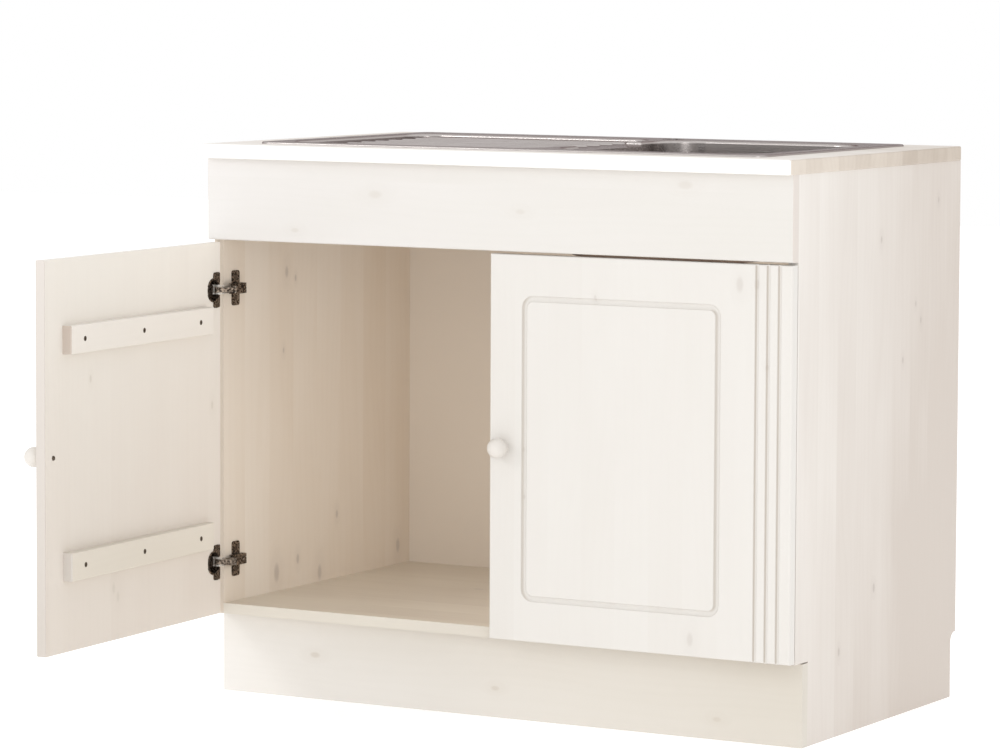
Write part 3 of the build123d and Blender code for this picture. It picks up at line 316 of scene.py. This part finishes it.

# ---------------------------------------------------------------- bottom panel and rails
# The floor of the cabinet and the two rails under the worktop: pine again, dowelled
# between the side panels and glued. Nothing but the front edges shows when it is shut.
# the inside's darker, yellower tone: painted shade, as on the inner faces of the sides
finish_with(
    glazed_pine(
        "bottom_panel_pine", "X", "Y", ((0.74, 0.67, 0.56), (0.60, 0.515, 0.42)),
        stave=0.075, start=0.0, contrast=0.8,
        knots=((-0.22, 0.31, 0.006), (0.1, 0.12, 0.005)),
        zones=[("Y", "LESS_THAN", front_edges_to_y, ((0.74, 0.695, 0.61), (0.57, 0.52, 0.455)))],
        # painted shade: the panel darkens towards the right, behind the right door
        painted_shade_slope=(1.0, -0.24, 0, 0)),
    "bottom_panel")
# the same darker, yellower painted shade of the inside
finish_with(
    glazed_pine(
        "rail_pine", "X", "Z", ((0.73, 0.635, 0.53), (0.60, 0.495, 0.39)),
        stave=0.2, start=0.05, contrast=0.8,
        knots=((-0.31, 0.77, 0.007), (0.2, 0.79, 0.009))),
    "front_rail", "rear_rail", "plinth_glue_blocks")
finish_with(
    glazed_pine(
        "dowel_beech", "X", "Z", ((0.62, 0.45, 0.28), (0.5, 0.33, 0.19)),
        stave=0.5, start=0.1, contrast=0.7),
    "carcass_dowels")


# ---------------------------------------------------------------- back panel
# Thin fibreboard slid into grooves in the side panels, rolled with a cream paint
# that shows a faint orange-peel texture.
def painted_board(name, pale, deep, roughness):
    material, tree, shader = fresh_material(name)
    place = put(tree, "ShaderNodeTexCoord", out="Object")
    cloud, peel = noise(tree, place, 4.0, 3.0), noise(tree, place, 900.0, 2.0)
    tree.links.new(blend(tree, cloud, pale, deep), shader.inputs["Base Color"])
    vary_gloss(tree, shader, peel, roughness, spread=0.2)
    emboss(tree, shader, peel, strength=0.12, distance=0.0003)
    return material


finish_with(
    painted_board("back_panel_paint", (0.735, 0.655, 0.56), (0.70, 0.615, 0.52), roughness=0.55),
    "back_panel")

# ---------------------------------------------------------------- fascia and plinth
# Two long boards across the front, the fascia glued and screwed to the front rail and
# the plinth set back between floor and doors. Their grain runs along the front.
fascia_ends_from_x = 0.4965
finish_with(
    glazed_pine(
        "fascia_pine", "X", "Z", ((0.745, 0.72, 0.70), (0.68, 0.655, 0.615)),
        stave=0.3, start=0.1, contrast=0.6,
        knots=((-0.198, 0.780, 0.008), (-0.340, 0.722, 0.005), (0.324, 0.809, 0.007),
               (0.052, 0.762, 0.006)),
        # painted light: the board darkens towards the right, away from the key light
        knot_tone=(0.62, 0.58, 0.53), painted_shade_slope=(0.6, 0, 0, 0),
        zones=[("|X", "GREATER_THAN", fascia_ends_from_x,
                ((0.71, 0.66, 0.61), (0.66, 0.60, 0.55)))]),
    "fascia_board")
finish_with(
    glazed_pine(
        "plinth_pine", "X", "Z", ((0.765, 0.735, 0.695), (0.62, 0.575, 0.505)),
        stave=0.3, start=0.14, contrast=0.3,
        knots=((-0.33, 0.068, 0.006), (-0.012, 0.044, 0.005), (0.36, 0.03, 0.005)),
        # painted light and shadow: lit at the left, where the key light passes under the open
        # door, darker towards the right and upwards
        knot_tone=(0.56, 0.50, 0.43), painted_shade_slope=(0.9, 0, 2.0, 0.06)),
    "plinth_board")

# ---------------------------------------------------------------- worktop
# A thicker board glued up from narrow staves, its edges rounded over, with an opening
# sawn out for the sink. Four steel angle brackets hold it from below.
worktop_front_to_y, worktop_ends_from_x = -0.0555, 0.4985
finish_with(
    glazed_pine(
        "worktop_pine", "X", "Y", ((0.775, 0.72, 0.67), (0.61, 0.54, 0.472)),
        stave=0.055, start=0.01, contrast=1.0,
        # painted shade: darker towards the back
        knots=((0.46, 0.30, 0.006), (-0.47, 0.12, 0.007)), painted_shade_slope=(0, 0, 1.3, 0.2),
        zones=[("Y", "LESS_THAN", worktop_front_to_y, ((0.92, 0.91, 0.88), (0.86, 0.84, 0.80))),
               ("|X", "GREATER_THAN", worktop_ends_from_x,
                ((0.665, 0.59, 0.51), (0.475, 0.40, 0.328)))]),
    "worktop")


def plated_metal(name, bright, dull, roughness, scale=140.0, stretch=(1, 1, 1),
                 painted_grazing_reflection=(1, 1, 1), patchy=False):
    """Plated or brushed metal: a fine clouding in tone and gloss, stretched along the brushing."""
    material, tree, shader = fresh_material(name)
    shader.inputs["Metallic"].default_value = 1.0
    # a tint other than white paints a coloured reflection at grazing angles
    shader.inputs["Specular Tint"].default_value = (*painted_grazing_reflection, 1)
    place = put(tree, "ShaderNodeTexCoord", out="Object")
    drawn = put(tree, "ShaderNodeVectorMath", place, stretch, operation="MULTIPLY")
    cloud = noise(tree, drawn, scale, 4.0)
    if patchy:
        cloud = ramp(tree, cloud, 0.40, 0.58)
    tree.links.new(blend(tree, cloud, bright, dull), shader.inputs["Base Color"])
    vary_gloss(tree, shader, cloud, roughness, spread=0.24)
    emboss(tree, shader, cloud, strength=0.08, distance=0.0002)
    return material


zinc = plated_metal("bright_zinc", (0.66, 0.67, 0.68), (0.50, 0.51, 0.53), roughness=0.35)
finish_with(zinc, "worktop_brackets")

# ---------------------------------------------------------------- sink
# Pressed from one sheet of stainless steel, satin brushed along its length, let into
# the worktop on a rubber seal and drawn down by zinc-plated clips under the rim.
# The steel's brownish tint, deepest at grazing angles, is a painted reflection of dark brown
# surroundings.
finish_with(
    plated_metal(
        "satin_steel", (0.60, 0.565, 0.55), (0.42, 0.38, 0.365), roughness=0.24,
        scale=60.0, stretch=(0.12, 9.0, 9.0), painted_grazing_reflection=(0.22, 0.16, 0.155)),
    "sink")
finish_with(zinc, "sink_clips", "sink_clip_screws")


def rubber(name, tone, roughness):
    material, tree, shader = fresh_material(name)
    dust = noise(tree, put(tree, "ShaderNodeTexCoord", out="Object"), 220.0, 3.0)
    dusty = [1.6 * part for part in tone]
    tree.links.new(blend(tree, dust, tone, dusty), shader.inputs["Base Color"])
    vary_gloss(tree, shader, dust, roughness, spread=0.2)
    return material


finish_with(
    rubber("grey_seal_rubber", (0.05, 0.05, 0.05), roughness=0.75), "sink_seal", "strainer_washer")

# ---------------------------------------------------------------- basket strainer waste
# A polished steel strainer clamped through the floor of the bowl by a plastic back nut,
# with a basket that lifts out by its little knob.
finish_with(
    plated_metal(
        "polished_steel", (0.62, 0.60, 0.58), (0.52, 0.50, 0.48), roughness=0.2, scale=200.0),
    "strainer_body", "strainer_basket")
finish_with(rubber("black_nut_plastic", (0.02, 0.02, 0.022), roughness=0.5), "strainer_back_nut")

# ---------------------------------------------------------------- doors and battens
# One board each, a ring and three flutes milled into the face, and two battens screwed
# across the back to keep it flat. The grain of a door runs upright, that of a batten across.

# the left door stands open: its outer links have turned on the pins of the hinge arms, and
# the door has turned back further on the pins in its cups
arm_pin = Vector((-(inner_face_x - 0.021), side_front_y + 0.0014, 0))
cup_pin = Vector((-(inner_face_x + 0.0084), side_front_y - 0.0044, 0))
link_turn, door_turn, whole_swing, open_now = 35, -130, 95, 87
left_swing, right_swing = Matrix(), Matrix()
for pin, full_turn in ((cup_pin, door_turn), (arm_pin, link_turn)):
    turn = Matrix.Rotation(math.radians(full_turn * open_now / whole_swing), 4, "Z")
    left_swing = Matrix.Translation(pin) @ turn @ Matrix.Translation(-pin) @ left_swing

front_glaze = ((0.735, 0.715, 0.685), (0.66, 0.625, 0.58))
# colour of the painted shade in the door grooves
groove_painted_shade = (0.40, 0.34, 0.275)
finish_with(
    glazed_pine(
        "right_door_pine", "Z", "X", front_glaze, stave=0.056, start=0.012, contrast=0.35,
        knots=((0.411, 0.058, 0.003), (0.341, 0.059, 0.0025), (0.670, 0.440, 0.005),
               (0.552, 0.457, 0.0025), (0.669, 0.413, 0.007), (0.151, 0.337, 0.007),
               (0.640, 0.178, 0.003)),
        knot_tone=(0.56, 0.52, 0.48), shaded_groove_wall=1, groove_shade_tone=groove_painted_shade),
    "door_panel_right")
free_edge_from_x = -0.0025
finish_with(
    glazed_pine(
        "left_door_pine", "Z", "X", ((0.79, 0.75, 0.69), (0.675, 0.61, 0.545)),
        stave=0.056, start=0.012, contrast=0.3,
        knots=((0.203, -0.187, 0.006), (0.189, -0.199, 0.006), (0.519, -0.125, 0.004),
               (0.450, -0.473, 0.005)),
        # painted shade: the door darkens towards the bottom
        knot_tone=(0.58, 0.53, 0.46), painted_shade_slope=(-1.7, 0.405, 0, 0), swing=left_swing,
        # painted shade: the free edge, facing the front, is darker than the face
        zones=[("X", "GREATER_THAN", free_edge_from_x,
                ((0.65, 0.60, 0.555), (0.57, 0.52, 0.47)))],
        shaded_groove_wall=-1, groove_shade_tone=groove_painted_shade),
    "door_panel_left")
finish_with(
    glazed_pine(
        "right_batten_pine", "X", "Z", front_glaze, stave=0.3, start=0.15, contrast=0.5),
    "batten_upper_right", "batten_lower_right")
batten_end_from_x = -0.0505
finish_with(
    glazed_pine(
        "left_batten_pine", "X", "Z", ((0.796, 0.752, 0.697), (0.675, 0.621, 0.537)),
        stave=0.3, start=0.15, contrast=0.3,
        # the free ends are darker: end grain, and painted shade, deepest on the upper batten
        zones=[("X", "GREATER_THAN", batten_end_from_x,
                ((0.545, 0.463, 0.40), (0.615, 0.576, 0.53)))],
        # painted shade: the lower batten darker than the upper
        painted_shade_slope=(0, 0, -2.42, 0.4165), swing=left_swing),
    "batten_upper_left", "batten_lower_left")

# ---------------------------------------------------------------- knobs
# Turned on a lathe from close-grained wood and painted white, held by one screw
# put in from the back of the door.
finish_with(
    glazed_pine(
        "knob_pine", "Y", "X", ((0.73, 0.695, 0.65), (0.67, 0.63, 0.585)),
        stave=0.4, start=0.2, contrast=0.5),
    "knob_left", "knob_right")

# ---------------------------------------------------------------- wood screws
# Countersunk steel screws with a cross recess, driven flush: three through each batten,
# four through the front rail into the fascia, and two through each worktop bracket.
def recess_reach(angle, half_length, half_width):
    """Distance from the middle of a cross recess to its wall in one direction."""
    across, along = sorted((abs(math.sin(angle)), abs(math.cos(angle))))
    at_the_end = across * half_length <= half_width * along
    return half_length / along if at_the_end else half_width / across


def screw_blank(name, profile, half_length, half_width, recess_depth):
    """A screw standing head up on its axis: rings from the recess out over the head and down."""
    edge = math.atan2(half_width, half_length)
    steps = (0, edge, (edge + math.pi / 4) / 2,
             math.pi / 4, (math.pi * 3 / 4 - edge) / 2, math.pi / 2 - edge)
    angles = [quarter * math.pi / 2 + step for quarter in range(4) for step in steps]
    reaches = [recess_reach(angle, half_length, half_width) for angle in angles]
    top = profile[0][1]
    floor_share = 0.5
    rings = [
        [(floor_share * reach, top - recess_depth) for reach in reaches],
        [(reach, top) for reach in reaches],
    ] + [[spot] * len(angles) for spot in profile]
    points = [(r * math.cos(angle), r * math.sin(angle), z)
              for ring in rings for (r, z), angle in zip(ring, angles)]
    count = len(angles)
    faces = [tuple(range(count))]
    for n in range(len(rings) - 1):
        for k in range(count):
            here, after = n * count + k, n * count + (k + 1) % count
            faces.append((here, here + count, after + count, after))
    faces.append(tuple(range(len(points) - 1, len(points) - 1 - count, -1)))
    mesh = bpy.data.meshes.new(name)
    mesh.from_pydata(points, [], faces)
    mesh.update()
    blank = bpy.data.objects.new(name, mesh)
    bpy.context.collection.objects.link(blank)
    return blank


def screw_tree():
    """Stands one screw on every point of a mesh, along its facing and turned by chance."""
    tree = bpy.data.node_groups.new("screws_on_points", "GeometryNodeTree")
    face = tree.interface
    face.new_socket("Places", in_out="INPUT", socket_type="NodeSocketGeometry")
    face.new_socket("Screw", in_out="INPUT", socket_type="NodeSocketObject")
    face.new_socket("Finish", in_out="INPUT", socket_type="NodeSocketMaterial")
    face.new_socket("Chance", in_out="INPUT", socket_type="NodeSocketInt")
    face.new_socket("Screws", in_out="OUTPUT", socket_type="NodeSocketGeometry")
    given = tree.nodes.new("NodeGroupInput")
    made = tree.nodes.new("NodeGroupOutput")
    blank = tree.nodes.new("GeometryNodeObjectInfo")
    tree.links.new(given.outputs["Screw"], blank.inputs["Object"])
    chance = tree.nodes.new("FunctionNodeRandomValue")
    chance.data_type = "FLOAT"
    for socket in chance.inputs:
        if socket.enabled and socket.name == "Max":
            socket.default_value = math.tau
        if socket.enabled and socket.name == "Seed":
            tree.links.new(given.outputs["Chance"], socket)
    spin = tree.nodes.new("ShaderNodeCombineXYZ")
    tree.links.new([s for s in chance.outputs if s.enabled][0], spin.inputs["Z"])
    spun = tree.nodes.new("FunctionNodeEulerToRotation")
    tree.links.new(spin.outputs[0], spun.inputs[0])
    way = tree.nodes.new("GeometryNodeInputNamedAttribute")
    way.data_type = "FLOAT_VECTOR"
    way.inputs["Name"].default_value = "facing"
    aimed = tree.nodes.new("FunctionNodeEulerToRotation")
    tree.links.new([s for s in way.outputs if s.enabled][0], aimed.inputs[0])
    both = tree.nodes.new("FunctionNodeRotateRotation")
    both.rotation_space = "LOCAL"
    tree.links.new(aimed.outputs[0], both.inputs[0])
    tree.links.new(spun.outputs[0], both.inputs[1])
    stand = tree.nodes.new("GeometryNodeInstanceOnPoints")
    tree.links.new(given.outputs["Places"], stand.inputs["Points"])
    tree.links.new(blank.outputs["Geometry"], stand.inputs["Instance"])
    tree.links.new(both.outputs[0], stand.inputs["Rotation"])
    real = tree.nodes.new("GeometryNodeRealizeInstances")
    tree.links.new(stand.outputs[0], real.inputs[0])
    coat = tree.nodes.new("GeometryNodeSetMaterial")
    tree.links.new(real.outputs[0], coat.inputs["Geometry"])
    tree.links.new(given.outputs["Finish"], coat.inputs["Material"])
    tree.links.new(coat.outputs[0], made.inputs[0])
    return tree


driven_screws = screw_tree()
screw_sockets = {
    s.name: s.identifier for s in driven_screws.interface.items_tree if s.in_out == "INPUT"}
screw_seed = 7


def drive(node_name, blank, finish, places, swing, body):
    """Puts screws where the CAD node has them, each place with the way its head faces."""
    mesh = bpy.data.meshes.new(node_name + "_places")
    mesh.from_pydata([swing @ Vector(spot) for spot, facing in places], [], [])
    facings = mesh.attributes.new("facing", "FLOAT_VECTOR", "POINT")
    for n, (spot, facing) in enumerate(places):
        aim = (swing.to_3x3() @ Vector(facing)).to_track_quat("Z", "Y").to_euler()
        facings.data[n].vector = aim
    holder = bpy.data.objects.new(node_name + "_places", mesh)
    bpy.context.collection.objects.link(holder)
    modifier = holder.modifiers.new("screws", "NODES")
    modifier.node_group = driven_screws
    modifier[screw_sockets["Screw"]] = blank
    modifier[screw_sockets["Finish"]] = finish
    modifier[screw_sockets["Chance"]] = screw_seed
    graph = bpy.context.evaluated_depsgraph_get()
    plain = bpy.data.meshes.new_from_object(holder.evaluated_get(graph))
    holder.modifiers.remove(modifier)
    bpy.data.objects.remove(holder)
    screws = bpy.data.objects.new(node_name + "_cross_head", plain)
    bpy.context.collection.objects.link(screws)
    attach(screws, body)
    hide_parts(node_name)


def countersunk(name, long):
    """Flat head 7.6 mm across on a 4 mm shank."""
    shank, head_depth, point = 0.002, 0.002, 0.002
    profile = [(0.0037, 0), (0.0038, -0.0001), (shank, -head_depth), (shank, point - long),
               (0.0004, -long)]
    return screw_blank(name, profile, half_length=0.0019, half_width=0.0005, recess_depth=0.0013)


dark_steel = plated_metal(
    "browned_screw_steel", (0.16, 0.13, 0.10), (0.09, 0.07, 0.055), roughness=0.4, scale=900.0)
batten_screw = countersunk("batten_screw", 0.025)
fascia_screw = countersunk("fascia_screw", 0.028)
bracket_screw = countersunk("bracket_screw", 0.014)
sides = ((1, "right", right_swing), (-1, "left", left_swing))
batten_back_y, rail_back_y = -0.012, -0.009
for side, word, swing in sides:
    places = [((side * x, batten_back_y, z), (0, 1, 0))
              for x in (0.087, 0.251, 0.415) for z in (0.2515, 0.5815)]
    drive("batten_screws_" + word, batten_screw, dark_steel, places,
          swing, "door_" + word)
drive(
    "fascia_screws", fascia_screw, dark_steel,
    [((x, rail_back_y, 0.772), (0, 1, 0)) for x in (-0.405, -0.135, 0.135, 0.405)],
    Matrix(), "cabinet")
bracket_face_x, bracket_side_z = 0.479, 0.808
bracket_face_z, bracket_top_x = 0.826, 0.461
drive(
    "worktop_bracket_screws", bracket_screw, zinc,
    [place for side in (1, -1) for y in (0.035, 0.445) for place in (
        ((side * bracket_face_x, y, bracket_side_z), (-side, 0, 0)),
        ((side * bracket_top_x, y, bracket_face_z), (0, 0, -1)))],
    Matrix(), "cabinet")

# ---------------------------------------------------------------- knob screws
# One domed screw with a cross recess through the back of each door into its knob.
# Its head stays proud of the wood.
knob_screw = screw_blank(
    "knob_screw",
    [(0.0020, 0.0018), (0.0029, 0.0015), (0.0034, 0.0009), (0.0035, 0.0003), (0.0035, 0),
     (0.002, 0), (0.002, -0.024), (0.0004, -0.026)],
    half_length=0.0016, half_width=0.00045, recess_depth=0.0012)
knob_x, door_back_y, knob_z = 0.0235, -0.027, 0.4125
for side, word, swing in sides:
    drive("knob_screw_" + word, knob_screw, dark_steel,
          [((side * knob_x, door_back_y, knob_z), (0, 1, 0))],
          swing, "door_" + word)

# ---------------------------------------------------------------- concealed hinges
# Pressed and riveted steel hinges in antique bronze plating: a cup let into the door and an
# arm clamped on a winged plate, each held by two browned screws, with a bronze outer link
# and a pair of nickel inner links between them on nickel pins.
bronze = plated_metal(
    "antique_bronze", (0.27, 0.215, 0.17), (0.04, 0.03, 0.023), roughness=0.5,
    scale=320.0, patchy=True)
nickel = plated_metal(
    "bright_nickel", (0.55, 0.52, 0.49), (0.42, 0.39, 0.36), roughness=0.28, scale=400.0)
hinge_spots = ("upper_left", "lower_left", "upper_right", "lower_right")
finish_with(bronze, "hinge_outer_links_left", "hinge_outer_links_right", *[
    "hinge_" + piece + "_" + spot for piece in ("cup", "arm", "plate") for spot in hinge_spots])
finish_with(nickel, "hinge_arm_pins", *[
    "hinge_" + piece + "_" + word
    for piece in ("inner_links", "cup_pins", "link_pins") for word in ("left", "right")])
hinge_heights = (0.206, 0.626)
short_screw = countersunk("hinge_screw", 0.012)
cup_x, cup_flange_y, cup_screw_step = 0.4855, -0.0258, 0.024
for side, word, swing in sides:
    places = [((side * cup_x, cup_flange_y, z + step), (0, 1, 0))
              for z in hinge_heights for step in (-cup_screw_step, cup_screw_step)]
    drive("hinge_cup_screws_" + word, short_screw, dark_steel, places,
          swing, "door_" + word)
wing_face_x, plate_y, plate_screw_step = 0.479, 0.007, 0.016
drive(
    "hinge_plate_screws", short_screw, dark_steel,
    [((side * wing_face_x, plate_y, z + step), (-side, 0, 0))
     for side in (1, -1) for z in hinge_heights for step in (-plate_screw_step, plate_screw_step)],
    Matrix(), "cabinet")
clamp_screw = screw_blank(
    "clamp_screw",
    [(0.0030, 0.0024), (0.0040, 0.0020), (0.0045, 0.0013), (0.0046, 0.0005), (0.0046, 0),
     (0.0025, 0), (0.0025, -0.009), (0.0015, -0.010)],
    half_length=0.0024, half_width=0.0006, recess_depth=0.0016)
arm_top_x, clamp_y = 0.467, 0.011
drive(
    "hinge_arm_screws", clamp_screw, bronze,
    [((side * arm_top_x, clamp_y, z), (-side, 0, 0)) for side in (1, -1) for z in hinge_heights],
    Matrix(), "cabinet")
for blank in (batten_screw, fascia_screw, bracket_screw, knob_screw, short_screw, clamp_screw):
    bpy.data.objects.remove(blank)
